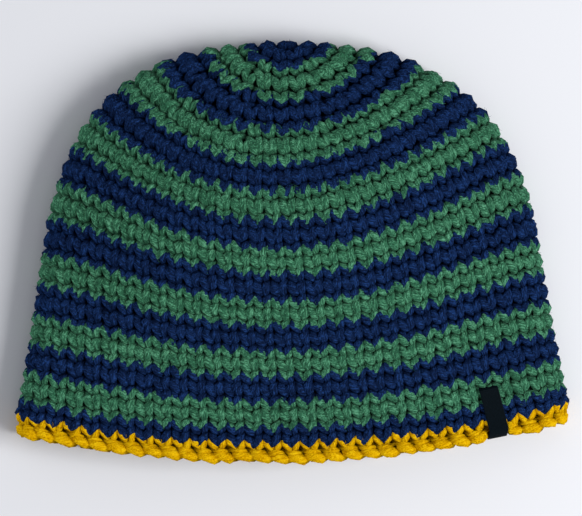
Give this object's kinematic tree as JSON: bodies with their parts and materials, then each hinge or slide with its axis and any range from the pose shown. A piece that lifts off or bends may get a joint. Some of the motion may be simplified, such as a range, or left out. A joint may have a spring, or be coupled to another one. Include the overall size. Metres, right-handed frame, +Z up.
{
  "type": "crochet beanie",
  "caption": "Soft crochet beanie lying flat and puffed up, striped in rounds from the crown to an edged open brim, with a plain folded ribbon label.",
  "frame": {"origin": "on the surface that the hat lies on, under the middle of its outline", "axes": "+X to the right across the open brim, +Y from the brim to the crown, +Z up from the resting surface"},
  "size_m": [0.2644, 0.2022, 0.0562],
  "materials": {
    "green_yarn": "fuzzy wool-blend yarn",
    "navy_yarn": "fuzzy wool-blend yarn",
    "mustard_yarn": "smooth plied yarn",
    "label_ribbon": "satin ribbon"
  },
  "bodies": {
    "root": {"crown_disc": "navy_yarn", "green_stripe_1": "green_yarn", "navy_stripe_1": "navy_yarn", "green_stripe_2": "green_yarn", "navy_stripe_2": "navy_yarn", "green_stripe_3": "green_yarn", "navy_stripe_3": "navy_yarn", "green_stripe_4": "green_yarn", "navy_stripe_4": "navy_yarn", "green_stripe_5": "green_yarn", "navy_stripe_5": "navy_yarn", "green_stripe_6": "green_yarn", "navy_stripe_6": "navy_yarn", "green_stripe_7": "green_yarn", "navy_stripe_7": "navy_yarn", "brim_edging": "mustard_yarn", "brim_label": "label_ribbon"}
  },
  "joints": []
}
